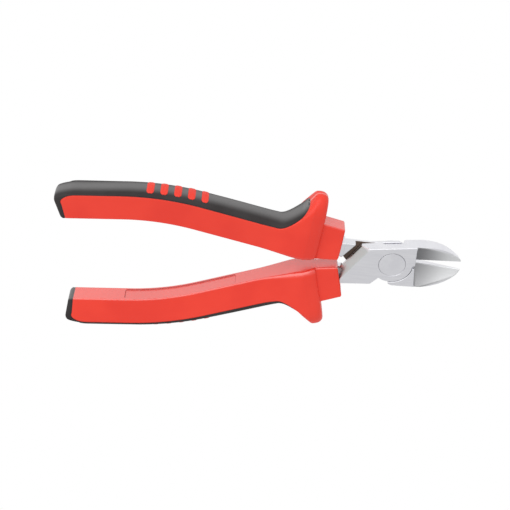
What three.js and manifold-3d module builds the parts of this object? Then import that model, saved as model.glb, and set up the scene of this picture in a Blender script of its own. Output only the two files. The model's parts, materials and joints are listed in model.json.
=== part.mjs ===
// Side cutters: two lapped steel halves turning on a flush rivet, each with a two-part grip.
// Millimetres, +Z up. The tool lies flat with its jaws toward +X.
// Every outline is drawn with the cutting edges closed on y = 0 and the pivot a little above them.

import * as THREE from 'three';
import { mergeVertices } from 'three/addons/utils/BufferGeometryUtils.js';
import Module from 'manifold-3d';

const wasm = await Module();
wasm.setup();

// Pose
const REST_OPENING = 6.8;

// Clearances
const LAP_GAP = 0.2;
const STEP_GAP = 0.3;
const EDGE_GAP = 0.1;
const RIVET_GAP = 0.08;
const TANG_GAP = 0.25;
const SOFT_GAP = 0.15;
const SHOULDER_GAP = 2.0;

// Head of each half
const HEAD_THICK = 9.6;
const FACE_EDGE = 0.3;
const BACK_STEPS = [[0.0, 0], [0.24, 0.9], [0.5, 2.4]];
const BOSS_RADIUS = 8.1;
const PIVOT_Y = 1.2;
const HEEL_X = -0.5;
const TIP_X = 27.2;
const TIP_LAND = 0.4;
const TIP_INSET = 0.6;
const JAW_Y = 8.7;
const JAW_STRAIGHT_X = 10.7;
const JAW_BULGE = [26, 3.4, 20, 8.7];
const CORNER = [-11.6, 8.8];
const LEG_INNER = [-20.3, -2.0];
const LEG_OUTER_Y = -8.4;
const LEG_END_X = -20.7;
const NOTCH_X = -8.6;
const NOTCH_Y = -7.7;
const NOTCH_ANGLE = -131;
const LEG_HALF = 2.7;
const LEG_FACE_HALF = 2.9;
const LEG_SLOPE_X = -8.7;

// Ground surfaces of the jaws
const EDGE_ROOT_Z = 0.0;
const EDGE_RISE = 0.13;
const BEVEL_SLOPE = 0.5;
const BEVEL_STEP = [9.0, 9.8];
const RELIEF_SLOPE = 0.28;
const NOSE_BACK_X = 10.2;
const NOSE_SLOPE = 0.4;
const NOSE_FRONT_SLOPE = 0.1;
const STRIP_WIDTH = 2.6;
const STRIP_DROP = 2.3;

// Rivet
const RIVET_HEAD = 5.2;
const RIVET_SHANK = 3.7;
const RIVET_RIM = 0.9;

// Tang inside the grip
const TANG_END_X = -122.5;
const TANG_WIDTH = 7.2;
const TANG_THICK = 5.4;
const TANG_OFFSET = 6.0;
const TANG_CHAMFER = 0.6;
const TANG_OVERLAP = 1;
const MOUTH_REACH = 4;

// Grip: its inner ridge is a line with two soft bends
const GRIP_END_X = -129.8;
const NECK_Y = 0.5;
const NECK_X = -35.5;
const NECK_BLEND = 6;
const BEND_X = -91.8;
const BEND_BLEND = 14;
const MIDDLE_SLOPE = 0.2355;
const REAR_SLOPE = -0.0595;
const NECK_LEAN = 0.1;
const END_LEAN = -0.5;
const END_LEAN_LENGTH = 12;

// Grip section
const RIDGE_HALF = 4.15;
const RIDGE_CHAMFER = 0.4;
const NECK_CHAMFER = 1.3;
const FACE_WIDTH = 11.2;
const FACE_HALF = 5.1;
const CROWN_POWER = 0.85;
const CROWN_END = 1.5;
const CROWN_FRONT = 4.0;
const CROWN_END_X = -122.7;
const CROWN_FRONT_X = -60.3;
const END_ROUND = 8.2;
const END_OUTER = 0.58;

// Guard, collar and soft overmould
const GUARD_START_X = -49;
const GUARD_TOP_X = -33.2;
const GUARD_HEIGHT = 13.3;
const GUARD_CROWN = 9.2;
const GUARD_FACE_X = -30;
const GUARD_EDGE = 1.2;
const GUARD_THINNING = 0.5;
const FLARE_START_X = -54;
const FLARE_TOP_X = -35;
const RIDGE_FLARE = 2.2;
const FACE_FLARE = 1.6;
const COLLAR_END_X = -21.2;
const COLLAR_HALF = 3.8;
const COLLAR_OUTER = [16.6, 14.4];
const COLLAR_EDGE = 0.6;
const SOFT_FRONT_X = -41.4;
const SOFT_END = 1.8;

const HALF_T = HEAD_THICK / 2;
const FAR = 40;
const ARC_STEPS = 14;
const CROWN_STEPS = 8;
const STATION_STEP = 4.6;
const FINE_STEP = 1.6;

const STEEL = { color: 0xc6c6cb, roughness: 0.35, metalness: 1 };
const RIVET_STEEL = { color: 0xcfcfd4, roughness: 0.3, metalness: 1 };
const RED = { color: 0xe63a2c, roughness: 0.42, metalness: 0 };
const DARK = { color: 0x3c3b3d, roughness: 0.68, metalness: 0 };

// Solids

function orientedGeometry(points, triangles) {
  const position = new Float32Array(points.flatMap((p) => [p.x, p.y, p.z]));
  const product = new THREE.Vector3();
  let volume = 0;
  for (const [a, b, c] of triangles) {
    volume += points[a].dot(product.crossVectors(points[b], points[c]));
  }
  const turned = volume < 0 ? triangles.map(([a, b, c]) => [a, c, b]) : triangles;
  const geometry = new THREE.BufferGeometry();
  geometry.setAttribute('position', new THREE.BufferAttribute(position, 3));
  geometry.setIndex(turned.flat());
  return geometry;
}

// Skins a row of rings with equal counts; the caps are filled in each end ring's own plane.
function loft(rings, firstFlat, lastFlat) {
  const count = rings[0].length;
  const triangles = [];
  for (let i = 0; i + 1 < rings.length; i += 1) {
    for (let j = 0; j < count; j += 1) {
      const a = i * count + j;
      const b = i * count + ((j + 1) % count);
      triangles.push([a, b, b + count], [a, b + count, a + count]);
    }
  }
  const last = (rings.length - 1) * count;
  for (const [flat, offset, keep] of [[firstFlat, 0, false], [lastFlat, last, true]]) {
    const around = THREE.ShapeUtils.area(flat) > 0;
    for (const face of THREE.ShapeUtils.triangulateShape(flat, [])) {
      const turns = THREE.ShapeUtils.area(face.map((k) => flat[k])) > 0;
      const [a, b, c] = face.map((k) => k + offset);
      triangles.push((turns === around) === keep ? [a, b, c] : [a, c, b]);
    }
  }
  return solid(orientedGeometry(rings.flat(), triangles));
}

function solid(geometry) {
  const bare = geometry.clone();
  bare.deleteAttribute('normal');
  bare.deleteAttribute('uv');
  const merged = mergeVertices(bare, 1e-4);
  const vertProperties = new Float32Array(merged.getAttribute('position').array);
  const triVerts = new Uint32Array(merged.getIndex().array);
  return new wasm.Manifold(new wasm.Mesh({ numProp: 3, vertProperties, triVerts }));
}

function meshOf(name, shape, look) {
  const made = shape.getMesh();
  const geometry = new THREE.BufferGeometry();
  geometry.setAttribute('position', new THREE.BufferAttribute(new Float32Array(made.vertProperties), 3));
  geometry.setIndex(new THREE.BufferAttribute(new Uint32Array(made.triVerts), 1));
  geometry.computeVertexNormals();
  const mesh = new THREE.Mesh(geometry, new THREE.MeshStandardMaterial(look));
  mesh.name = name;
  return mesh;
}

// A flat outline raised between heights that may differ from corner to corner.
function raised(outline, lowZ, highZ) {
  const flat = outline.map(([x, y]) => new THREE.Vector2(x, y));
  const ring = (height) => outline.map(([x, y]) => new THREE.Vector3(x, y, height(x, y)));
  return loft([ring(lowZ), ring(highZ)], flat, flat);
}

const level = (z) => () => z;

function turnedSolid(profile) {
  const points = profile.map(([r, z]) => new THREE.Vector2(r, z));
  const lathe = new THREE.LatheGeometry(points, 4 * ARC_STEPS);
  return solid(lathe.rotateX(Math.PI / 2));
}

// Steel halves. side +1 has its jaw toward +Y and its lap plate in front, side -1 the other way round.

function headOutline(side, inset) {
  const boss = BOSS_RADIUS - inset;
  const tip = TIP_X - TIP_INSET * inset;
  const start = THREE.MathUtils.degToRad(NOTCH_ANGLE);
  const bossY = side * PIVOT_Y;
  const end = Math.asin((EDGE_GAP - bossY) / boss);
  const [ax, ay, bx, by] = JAW_BULGE;
  const shape = new THREE.Shape();
  shape.moveTo(tip, EDGE_GAP);
  shape.lineTo(tip, EDGE_GAP + TIP_LAND);
  shape.bezierCurveTo(ax - inset, ay, bx - inset, by - inset, JAW_STRAIGHT_X, JAW_Y - inset);
  shape.lineTo(CORNER[0], CORNER[1] - inset);
  shape.lineTo(...LEG_INNER);
  shape.lineTo(LEG_END_X, LEG_INNER[1]);
  shape.lineTo(LEG_END_X, LEG_OUTER_Y + inset);
  shape.lineTo(NOTCH_X, NOTCH_Y + inset);
  shape.absarc(0, bossY, boss, start, end, false);
  const points = shape.getPoints(ARC_STEPS);
  return points.map((p) => new THREE.Vector2(p.x, side * p.y));
}

function headBlank(side) {
  const heights = BACK_STEPS.map(([down, inset]) => [-down * HEAD_THICK, inset]).reverse();
  const levels = [...heights, [HALF_T - FACE_EDGE, 0], [HALF_T, FACE_EDGE]];
  const flats = levels.map(([, inset]) => headOutline(side, inset));
  const rings = levels.map(([z], i) => flats[i].map((p) => new THREE.Vector3(p.x, p.y, z)));
  return loft(rings, flats[0], flats[flats.length - 1]);
}

// Room for the other half's lap plate, up to the arc of the jaw and the slanted shoulder of the leg.
function lapPocket(side) {
  const along = new THREE.Vector2(LEG_INNER[0] - CORNER[0], CORNER[1] - LEG_INNER[1]).normalize();
  const shoulder = (y) => {
    const onEdge = CORNER[0] + ((y + CORNER[1]) * along.x) / along.y;
    return onEdge - SHOULDER_GAP / along.y;
  };
  const reach = 2 * BOSS_RADIUS;
  const wedge = [[HEEL_X, reach], [HEEL_X, -reach], [shoulder(-reach), -reach], [shoulder(reach), reach]];
  const outline = wedge.map(([x, y]) => [x, side * y]);
  const floor = (side * LAP_GAP) / 2;
  const open = -side * HEAD_THICK;
  const step = BOSS_RADIUS + STEP_GAP;
  const [low, high] = side > 0 ? [open, floor] : [floor, open];
  const round = turnedSolid([[0, low], [step, low], [step, high], [0, high]]).translate([0, PIVOT_Y, 0]);
  return raised(outline, level(floor), level(open)).add(round);
}

// Height of the lap plate's outer face above the lap where it slopes down along the leg.
const legFace = (x) => HALF_T + ((x - LEG_SLOPE_X) * (HALF_T - LEG_FACE_HALF)) / (LEG_SLOPE_X - LEG_END_X);

function legThinning(side) {
  const outline = [[LEG_SLOPE_X, FAR], [LEG_SLOPE_X, -FAR], [-FAR, -FAR], [-FAR, FAR]];
  const lapSide = raised(outline, (x) => side * legFace(x), level(side * FAR));
  return lapSide.add(raised(outline, level(-side * LEG_HALF), level(-side * FAR)));
}

// Ground strip along the slanted edge of the lap plate.
function edgeStrip(side) {
  const from = new THREE.Vector2(...CORNER);
  const to = new THREE.Vector2(...LEG_INNER);
  const along = to.clone().sub(from).normalize();
  const inward = new THREE.Vector2(-along.y, along.x);
  const fall = STRIP_DROP / STRIP_WIDTH;
  const corner = (t, d) => {
    const p = from.clone().addScaledVector(along, t).addScaledVector(inward, d);
    return [p.x, side * p.y];
  };
  const reach = from.distanceTo(to) + STRIP_WIDTH;
  const start = -2 * STRIP_WIDTH;
  const outline = [[start, -1], [reach, -1], [reach, 2 * STRIP_WIDTH], [start, 2 * STRIP_WIDTH]];
  const placedOutline = outline.map(([t, d]) => corner(t, d));
  const depth = (x, y) => new THREE.Vector2(x, side * y).sub(from).dot(inward);
  const surface = (x, y) => side * (legFace(x) - STRIP_DROP + fall * depth(x, y));
  return raised(placedOutline, surface, level(side * FAR));
}

const edgeZ = (x) => EDGE_ROOT_Z + EDGE_RISE * (x - BEVEL_STEP[0]);

// Front bevel down to the cutting edge, relief behind it, and the nose tapered on both faces.
function jawGrinding(side) {
  const [rootX, faceX] = BEVEL_STEP;
  const outerX = rootX + ((faceX - rootX) * FAR) / JAW_Y;
  const inner = rootX - (faceX - rootX) / JAW_Y;
  const bevel = [[inner, -1], [outerX, FAR], [FAR, FAR], [FAR, -1]].map(([x, y]) => [x, side * y]);
  const bevelZ = (x, y) => edgeZ(x) + BEVEL_SLOPE * (side * y - EDGE_GAP);
  const relief = (x, z) => side * (EDGE_GAP + RELIEF_SLOPE * (edgeZ(x) - z));
  const wall = [rootX, FAR].map((x) => [
    new THREE.Vector3(x, relief(x, edgeZ(x)), edgeZ(x)),
    new THREE.Vector3(x, relief(x, -FAR), -FAR),
    new THREE.Vector3(x, -side * FAR, -FAR),
    new THREE.Vector3(x, -side * FAR, edgeZ(x)),
  ]);
  const flats = wall.map((ring) => ring.map((p) => new THREE.Vector2(p.y, p.z)));
  const noseBack = (x) => -HALF_T + NOSE_SLOPE * (x - NOSE_BACK_X);
  const noseFront = (x) => HALF_T - NOSE_FRONT_SLOPE * (x - NOSE_BACK_X);
  const nose = [[NOSE_BACK_X, -FAR], [FAR, -FAR], [FAR, FAR], [NOSE_BACK_X, FAR]];
  return raised(bevel, bevelZ, level(FAR))
    .add(loft(wall, ...flats))
    .add(raised(nose, level(-FAR), noseBack))
    .add(raised(nose, noseFront, level(FAR)));
}

function rivetProfile(gap, overrun) {
  const head = RIVET_HEAD + gap;
  const shank = RIVET_SHANK + gap;
  const top = HALF_T + overrun;
  const rim = HALF_T - RIVET_RIM;
  const neck = rim - (RIVET_HEAD - RIVET_SHANK);
  const upper = [[shank, neck], [head, rim], [head, top], [0, top]];
  return [...upper.map(([r, z]) => [r, -z]).reverse(), ...upper];
}

// Grip frame: stations along the inner ridge, with n pointing out to the back of the grip.

const ramp = (t, w) => (t < -w ? 0 : t > w ? t : ((t + w) * (t + w)) / (4 * w));
const rampSlope = (t, w) => THREE.MathUtils.clamp((t + w) / (2 * w), 0, 1);
const smooth = (x, from, to) => THREE.MathUtils.smoothstep(x, from, to);

function ridgeY(x) {
  const rise = MIDDLE_SLOPE * ramp(NECK_X - x, NECK_BLEND);
  return NECK_Y + rise - (MIDDLE_SLOPE - REAR_SLOPE) * ramp(BEND_X - x, BEND_BLEND);
}

function lean(x) {
  const middle = MIDDLE_SLOPE * rampSlope(NECK_X - x, NECK_BLEND);
  const slope = middle - (MIDDLE_SLOPE - REAR_SLOPE) * rampSlope(BEND_X - x, BEND_BLEND);
  const along = x > NECK_X - NECK_BLEND ? Math.max(slope, NECK_LEAN) : slope;
  const atEnd = 1 - smooth(x, GRIP_END_X, GRIP_END_X + END_LEAN_LENGTH);
  return THREE.MathUtils.lerp(along, END_LEAN, atEnd);
}

function placed(x, section) {
  const out = new THREE.Vector2(lean(x), 1).normalize();
  return section.map((p) => new THREE.Vector3(x + out.x * p.x, ridgeY(x) + out.y * p.x, p.y));
}

function gripLoft(stations, section) {
  const flats = stations.map((x) => section(x).map(([n, z]) => new THREE.Vector2(n, z)));
  const rings = stations.map((x, i) => placed(x, flats[i]));
  return loft(rings, flats[0], flats[flats.length - 1]);
}

const crown = (x) => CROWN_END + (CROWN_FRONT - CROWN_END) * smooth(x, CROWN_END_X, CROWN_FRONT_X);

function outerReach(x) {
  const along = THREE.MathUtils.clamp((CROWN_END_X - x) / END_ROUND, 0, 1);
  const rounded = END_OUTER + (1 - END_OUTER) * Math.sqrt(1 - along * along);
  const guard = GUARD_HEIGHT * smooth(x, GUARD_START_X, GUARD_TOP_X);
  const edge = GUARD_EDGE * smooth(x, GUARD_FACE_X - GUARD_EDGE, GUARD_FACE_X);
  return (FACE_WIDTH + crown(x)) * rounded + guard - edge;
}

function gripSection(x) {
  const outer = outerReach(x);
  const depth = crown(x) + (GUARD_CROWN - CROWN_FRONT) * smooth(x, SOFT_FRONT_X, GUARD_TOP_X);
  const flare = smooth(x, FLARE_START_X, FLARE_TOP_X);
  const half = FACE_HALF + FACE_FLARE * flare - GUARD_THINNING * smooth(x, GUARD_TOP_X, GUARD_FACE_X);
  const ridge = RIDGE_HALF + RIDGE_FLARE * flare;
  const chamfer = RIDGE_CHAMFER + NECK_CHAMFER * flare;
  const base = outer - depth;
  const side = [[0, ridge - chamfer], [chamfer, ridge]];
  for (let i = 0; i < CROWN_STEPS; i += 1) {
    const turn = (i / CROWN_STEPS) * (Math.PI / 2);
    side.push([base + depth * Math.sin(turn) ** CROWN_POWER, half * Math.cos(turn) ** CROWN_POWER]);
  }
  const other = side.map(([n, z]) => [n, -z]).reverse();
  return [...side, [outer, 0], ...other];
}

function boxSection(inner, outer, half, chamfer) {
  const low = half - chamfer;
  const front = [[inner, low], [inner + chamfer, half], [outer - chamfer, half], [outer, low]];
  return [...front, ...front.map(([n, z]) => [n, -z]).reverse()];
}

// Stations from one end to the other, no further apart than the step.
function spread(from, to, step = STATION_STEP) {
  const count = Math.ceil((to - from) / step);
  return Array.from({ length: count + 1 }, (_, i) => from + ((to - from) * i) / count);
}

function gripEnvelope() {
  const stations = [
    ...spread(GRIP_END_X, CROWN_END_X, FINE_STEP),
    ...spread(CROWN_END_X, GUARD_START_X).slice(1),
    ...spread(GUARD_START_X, GUARD_FACE_X - GUARD_EDGE, FINE_STEP).slice(1),
    ...spread(GUARD_FACE_X - GUARD_EDGE, GUARD_FACE_X, GUARD_EDGE / 2).slice(1),
  ];
  const collar = (x) => {
    const t = (x - GUARD_FACE_X) / (COLLAR_END_X - GUARD_FACE_X);
    const edge = COLLAR_EDGE * smooth(x, COLLAR_END_X - COLLAR_EDGE, COLLAR_END_X);
    const outer = THREE.MathUtils.lerp(...COLLAR_OUTER, t) - edge;
    return boxSection(edge, outer, COLLAR_HALF - edge, COLLAR_EDGE);
  };
  const collarStations = [GUARD_FACE_X - GUARD_EDGE, COLLAR_END_X - COLLAR_EDGE, COLLAR_END_X];
  return gripLoft(stations, gripSection).add(gripLoft(collarStations, collar));
}

// The space of the soft overmould: the back of the grip and its whole end.
function softSpace(grow) {
  const beyond = GRIP_END_X - FACE_HALF;
  const clear = 2 * FACE_HALF;
  const back = (x) => boxSection(outerReach(x) - crown(x) - grow, outerReach(x) + clear, clear, SOFT_GAP);
  const whole = () => boxSection(-clear, FAR, clear, SOFT_GAP);
  const backStations = [beyond, ...spread(GRIP_END_X, SOFT_FRONT_X + grow)];
  return gripLoft(backStations, back).add(gripLoft([beyond, GRIP_END_X + SOFT_END + grow], whole));
}

function tang(gap) {
  const legCentre = (-LEG_INNER[1] - LEG_OUTER_Y) / 2;
  const legWidth = -LEG_OUTER_Y + LEG_INNER[1];
  const section = (x) => {
    const inLeg = smooth(x, NECK_X, LEG_END_X);
    const centre = THREE.MathUtils.lerp(TANG_OFFSET, legCentre - NECK_Y, inLeg);
    const width = THREE.MathUtils.lerp(TANG_WIDTH, legWidth, inLeg) / 2 + gap;
    const half = THREE.MathUtils.lerp(TANG_THICK / 2, LEG_FACE_HALF, inLeg) + gap;
    return boxSection(centre - width, centre + width, half, TANG_CHAMFER);
  };
  const mouth = LEG_END_X + TANG_OVERLAP + MOUTH_REACH * gap;
  return gripLoft([...spread(TANG_END_X - gap, LEG_END_X), mouth], section);
}

function steelHalf(side) {
  const bore = turnedSolid(rivetProfile(RIVET_GAP, FAR)).translate([0, PIVOT_Y, 0]);
  const head = headBlank(side)
    .subtract(lapPocket(side))
    .subtract(legThinning(side))
    .subtract(edgeStrip(side))
    .subtract(jawGrinding(side))
    .subtract(bore);
  const handle = meshTurned(tang(0), side);
  return head.add(handle);
}

// The handle of the front half is the back half's handle turned over about the X axis.
function meshTurned(shape, side) {
  const turn = new THREE.Matrix4().makeRotationX(side > 0 ? Math.PI : 0);
  const geometry = meshOf('', shape, STEEL).geometry.applyMatrix4(turn);
  return solid(geometry);
}

function gripParts() {
  const envelope = gripEnvelope();
  const body = envelope.subtract(softSpace(SOFT_GAP)).subtract(tang(TANG_GAP));
  return { body, soft: envelope.intersect(softSpace(0)) };
}

const { body, soft } = gripParts();

function halfGroup(side, steelName, gripName) {
  const grip = new THREE.Group();
  grip.rotation.x = side > 0 ? Math.PI : 0;
  grip.add(meshOf(`${gripName}_body`, body, RED), meshOf(`${gripName}_soft`, soft, DARK));
  const steel = meshOf(steelName, steelHalf(side), STEEL);
  const half = new THREE.Group();
  half.add(steel, grip);
  half.children.forEach((child) => child.position.setY(-PIVOT_Y));
  half.rotation.z = THREE.MathUtils.degToRad((side * REST_OPENING) / 2);
  return half;
}

const cutters = new THREE.Group();
cutters.add(
  halfGroup(1, 'front_half', 'lower_grip'),
  halfGroup(-1, 'back_half', 'upper_grip'),
  meshOf('pivot_rivet', turnedSolid(rivetProfile(0, 0)), RIVET_STEEL),
);

// The origin is the middle of the footprint, on the surface that the tool lies on.
const bounds = new THREE.Box3().setFromObject(cutters, true);
const middle = bounds.getCenter(new THREE.Vector3());
cutters.position.set(-middle.x, -middle.y, -bounds.min.z);

const sideCutters = new THREE.Group();
sideCutters.add(cutters);

export default sideCutters;
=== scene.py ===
import json
import math

import bpy
import numpy as np
from mathutils import Matrix, Vector


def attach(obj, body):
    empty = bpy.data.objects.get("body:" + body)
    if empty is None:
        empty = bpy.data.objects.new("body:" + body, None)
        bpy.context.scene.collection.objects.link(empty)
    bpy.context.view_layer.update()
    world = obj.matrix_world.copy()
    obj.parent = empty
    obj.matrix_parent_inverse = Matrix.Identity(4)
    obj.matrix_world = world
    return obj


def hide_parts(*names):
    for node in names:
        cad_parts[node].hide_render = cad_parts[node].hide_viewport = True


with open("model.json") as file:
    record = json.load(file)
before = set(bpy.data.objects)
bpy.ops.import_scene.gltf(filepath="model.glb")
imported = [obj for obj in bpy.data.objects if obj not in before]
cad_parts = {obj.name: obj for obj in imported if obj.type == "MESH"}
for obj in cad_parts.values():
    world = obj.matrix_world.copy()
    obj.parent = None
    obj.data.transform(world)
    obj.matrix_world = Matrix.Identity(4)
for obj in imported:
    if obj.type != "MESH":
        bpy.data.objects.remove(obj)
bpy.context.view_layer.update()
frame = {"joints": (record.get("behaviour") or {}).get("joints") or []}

# Drawing frame: millimetres, cutting edges closed on y = 0, pivot a little above them
MM = 0.001
PIVOT = np.array(frame["joints"][0]["pos_m"]) / MM
REST_TURN = 3.4
PIVOT_Y = 1.2

# Lap joint of the steel halves
HALF_T = 4.8
LAP_GAP = 0.2
STEP_GAP = 0.2
LAP_ROUND = 0.15
SHOULDER_GAP = 2.0
BOSS_RADIUS = 8.1
BOSS_POINTS = 60
NOTCH = (-8.6, -7.7)
NOTCH_ANGLE = -131
BACK_SHOULDER = (2.45, -8.86)
BACK_ANGLE = -72
BACK_INSET = 2.4
BACK_POWER = 1.4
BACK_MARGIN = 0.6
HEEL_X = -0.5
HEEL_ROUND = 2.4
HEEL_ACROSS = (7.5, 8.7)
HEEL_ALONG = (-4.0, -2.0)

# Jaws
TIP_X = 27.2
TIP_LAND = 0.4
JAW_Y = 8.7
JAW_STRAIGHT_X = 10.7
JAW_BULGE = ((26.0, 3.4), (20.0, 8.7))
JAW_POINTS = 40
EDGE_GAP = 0.1
EDGE_RISE = 0.13
BEVEL_SLOPE = 0.5
BEVEL_ROOT_X = 9.0
BEVEL_FACE_X = 9.8
BEVEL_HOLLOW = 0.3
BEVEL_FILLET = 0.9
# Length over which the painted shade on a jaw's bevel fades out from its root
BEVEL_SHADE_FADE = 16.0
RELIEF_SLOPE = 0.28
NOSE_BACK_X = 10.2
NOSE_SLOPE = 0.4
NOSE_FRONT_SLOPE = 0.1

# Legs, the strip along their slanted edge, and tangs
CORNER = np.array((-11.6, 8.8))
LEG_INNER = np.array((-20.3, -2.0))
LEG_OUTER_Y = -8.4
LEG_END_X = -20.7
LEG_HALF = 2.7
LEG_FACE_HALF = 2.9
LEG_SLOPE_X = -8.7
STRIP_WIDTH = 2.6
STRIP_DROP = 2.3
STRIP_RUN = 1.0
TANG_END_X = -122.5
TANG_WIDTH = 7.2
TANG_THICK = 5.4
TANG_OFFSET = 6.0
TANG_GAP = 0.25
TANG_ROUND = 0.9
TANG_OVERLAP = 1.0
TANG_LOW_Y = -27.0

# Rivet
RIVET_HEAD = 5.2
RIVET_SHANK = 3.7
RIVET_RIM = 0.9
RIVET_FINE = 0.03
RIVET_GAP = 0.08
RIVET_RINGS = (0.02, 2.2, 4.2)
RIVET_SIDES = 96

# Rounded edges of the steel, and the grid of its field
EDGE_ROUND = 0.2
GROUND_ROUND = 0.12
BORE_ROUND = 0.06
STEEL_PITCH = 0.22
TANG_PITCH = 1.2
GRID_MARGIN = 1.0

# Where the marks on the steel begin and are full
BEVEL_OFF = (0.35, 0.1)
BEVEL_START = (-0.1, 0.15)
STRIP_OFF = (0.3, 0.1)
STRIP_START = (-1.0, 0.0)
STRIP_EDGE = (STRIP_WIDTH + 0.2, STRIP_WIDTH - 0.1)
OXIDE_PLAN = (0.12, 0.02)
OXIDE_LAP = (0.4, 0.2)
OXIDE_X = (-6.6, -8.0)

# Grip line and section
GRIP_END_X = -129.5
NECK_Y = 0.5
NECK_X = -35.5
NECK_BLEND = 6
BEND_X = -91.8
BEND_BLEND = 14
MIDDLE_SLOPE = 0.2355
REAR_SLOPE = -0.0595
NECK_LEAN = 0.1
END_LEAN = -0.28
END_LEAN_LENGTH = 4
RIDGE_HALF = 4.15
RIDGE_ROUND = 0.6
NECK_ROUND = 1.3
FACE_WIDTH = 11.2
FACE_HALF = 5.1
CROWN_POWER = 0.85
CROWN_END = 1.5
CROWN_FRONT = 3.0
CROWN_END_X = -122.7
CROWN_FRONT_X = -60.3
END_ROUND = 8.2
END_OUTER = 0.58
GUARD_START_X = -48.5
GUARD_TOP_X = -33.2
GUARD_HEIGHT = 14.1
GUARD_CROWN = 9.2
GUARD_CROWN_X = -41.4
GUARD_FACE_X = -30
GUARD_EDGE = 2.8
GUARD_FALL = 1.3
RIM_FALL = 0.4
CREASE_X = -35.2
CREASE_BLEND = 0.7
FLARE_START_X = -54
FLARE_TOP_X = -35
RIDGE_FLARE = 2.2
FACE_FLARE = 1.6
COLLAR_END_X = -21.2
COLLAR_HALF = 3.5
COLLAR_OUTER = (16.6, 14.4)
COLLAR_EDGE = 0.6
COLLAR_FILLET = 0.5
MOUTH_DEPTH = 0.25
MOUTH_FLARE = 0.2
HOLE_START = 2.0
HOLE_ROUND = 0.5
BRIDGE = np.array((0.3, 0.6, 0.85))

# Soft cover, its seam and the panel in the inner face
SOFT_SPLIT_X = -127.8
SOFT_CORNER = 2.6
SOFT_RISE_X = -56.0
SOFT_TIP_X = -38.6
SOFT_TIP_Q = 1.93
SOFT_RISE_POWER = 2.6
SOFT_LIP_ROOM = 1.5
SOFT_SHEEN_Q = (1.45, 1.95)
TOP_POLISH = (0.2, 0.9)
TIP_STRETCH = 3.0
SEAT_STEP = 0.12
SOFT_THICK = 0.9
SOFT_END_ROUND = 1.3
SEAT_DEPTH = 1.1
SEAM_REACH = np.array((0.6, 0.36, 0.18, 0.07, 0.0))
SEAM_DIP = np.array((0.0, 0.03, 0.1, 0.18, 0.28))
PANEL_X = (-107.0, -62.0)
PANEL_HALF = 3.1
PANEL_CORNER = 1.0
PANEL_DEPTH = 0.5
PANEL_WALL = 0.12
PANEL_STEPS = np.array((-0.12, -0.07, -0.03, 0.03, 0.07, 0.14))
COLUMN_GAP = 0.2
PANEL_REACH = 0.3
RING_GAP = 0.03

# Bars across the back of the soft cover
BAR_X = -96.0
BAR_PITCH = 4.6
BAR_COUNT = 5
BAR_HALF_WIDTH = 1.2
BAR_REACH = 0.5
BAR_HEIGHT = 0.1
BAR_ROWS = 11
BAR_COLUMNS = 41
BAR_EDGE = 0.3
BAR_END_POWER = 8
BAR_END_WIDTH = 0.02

# Columns and rings of the grips' meshes
PANEL_COLUMNS = (4, 6)
BESIDE_PANEL = 0.6
FRONT_COLUMNS = 14
FLOOR_COLUMNS = 10
EDGE_COLUMNS = 5
BEND_COLUMNS = len(SEAM_DIP)
END_RINGS = 8
CORNER_RINGS = 7
PANEL_RINGS = 12
MIDDLE_RINGS = 60
TIP_RINGS = 10
GUARD_RINGS = 34
CREASE_RINGS = 9
RIM_RINGS = 9
FILLET_RINGS = 5
COLLAR_RINGS = 8
HOLE_RINGS = 46


def mix(a, b, t):
    """Straight line from a to b."""
    return a + (b - a) * t


def smooth(x, low, high):
    """Ease from 0 at low to 1 at high: three t squared less two t cubed."""
    t = np.clip((x - low) / (high - low), 0, 1)
    return t * t * (3 - 2 * t)


def quarter(steps):
    """Angles from nothing to a right angle."""
    return np.linspace(0, math.pi / 2, steps)


def to_row(points, side, turned=False):
    """Drawing frame to row frame: a turned piece goes half round the X axis, the half opens
    about the pivot, moves to the pivot's place, and millimetres become metres."""
    flip = np.array((1, -1, -1)) if turned else np.ones(3)
    angle = math.radians(side * REST_TURN)
    c, s = math.cos(angle), math.sin(angle)
    turn = np.array(((c, -s, 0), (s, c, 0), (0, 0, 1)))
    return ((points * flip - (0, PIVOT_Y, 0)) @ turn.T + PIVOT) * MM


def piece(name, points, faces, body, material, nodes=(), marks=None):
    """One mesh object at the origin that rides on a body, with a float attribute for each mark."""
    mesh = bpy.data.meshes.new(name)
    mesh.from_pydata(points, [], faces)
    mesh.polygons.foreach_set("use_smooth", np.ones(len(mesh.polygons), bool))
    for key, values in (marks or {}).items():
        layer = mesh.attributes.new(key, "FLOAT", "POINT")
        layer.data.foreach_set("value", values.astype(np.float32))
    mesh.materials.append(material)
    mesh.update()
    made = bpy.data.objects.new(name, mesh)
    bpy.context.scene.collection.objects.link(made)
    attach(made, body)
    if nodes:
        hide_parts(*nodes)
    return made


def grid_faces(rows, columns):
    """Quads of a grid of rings, each ring's last point joined to its first."""
    index = np.arange(rows * columns).reshape(rows, columns)
    near, far = index, np.roll(index, -1, axis=1)
    return np.stack((near[:-1], far[:-1], far[1:], near[1:]), -1).reshape(-1, 4).tolist()


def zip_cap(first, count, reverse):
    """Closes a ring that mirrors itself across its first and middle points, rung by rung."""
    half = count // 2
    k = np.arange(1, half - 1)
    rungs = np.stack((k, k + 1, count - k - 1, count - k), -1).tolist()
    ends = [[0, 1, count - 1], [half - 1, half, half + 1]]
    faces = [[first + i for i in face] for face in rungs + ends]
    return [face[::-1] for face in faces] if reverse else faces


def outward(points, faces):
    """Turns a closed mesh inside out if the volume that its faces sweep is negative."""
    corners = np.array([(f[0], f[i], f[i + 1]) for f in faces for i in range(1, len(f) - 1)])
    a, b, c = (points[corners[:, i]] for i in range(3))
    volume = np.einsum("ij,ij->", a, np.cross(b, c))
    return [face[::-1] for face in faces] if volume < 0 else faces


# Steel halves as one field of distances


def round_max(a, b, size=EDGE_ROUND):
    """The larger of two distances, with the edge where they meet rounded over that size."""
    near = np.maximum(size - np.abs(a - b), 0)
    return np.maximum(a, b) + near * near / (4 * size)


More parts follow.
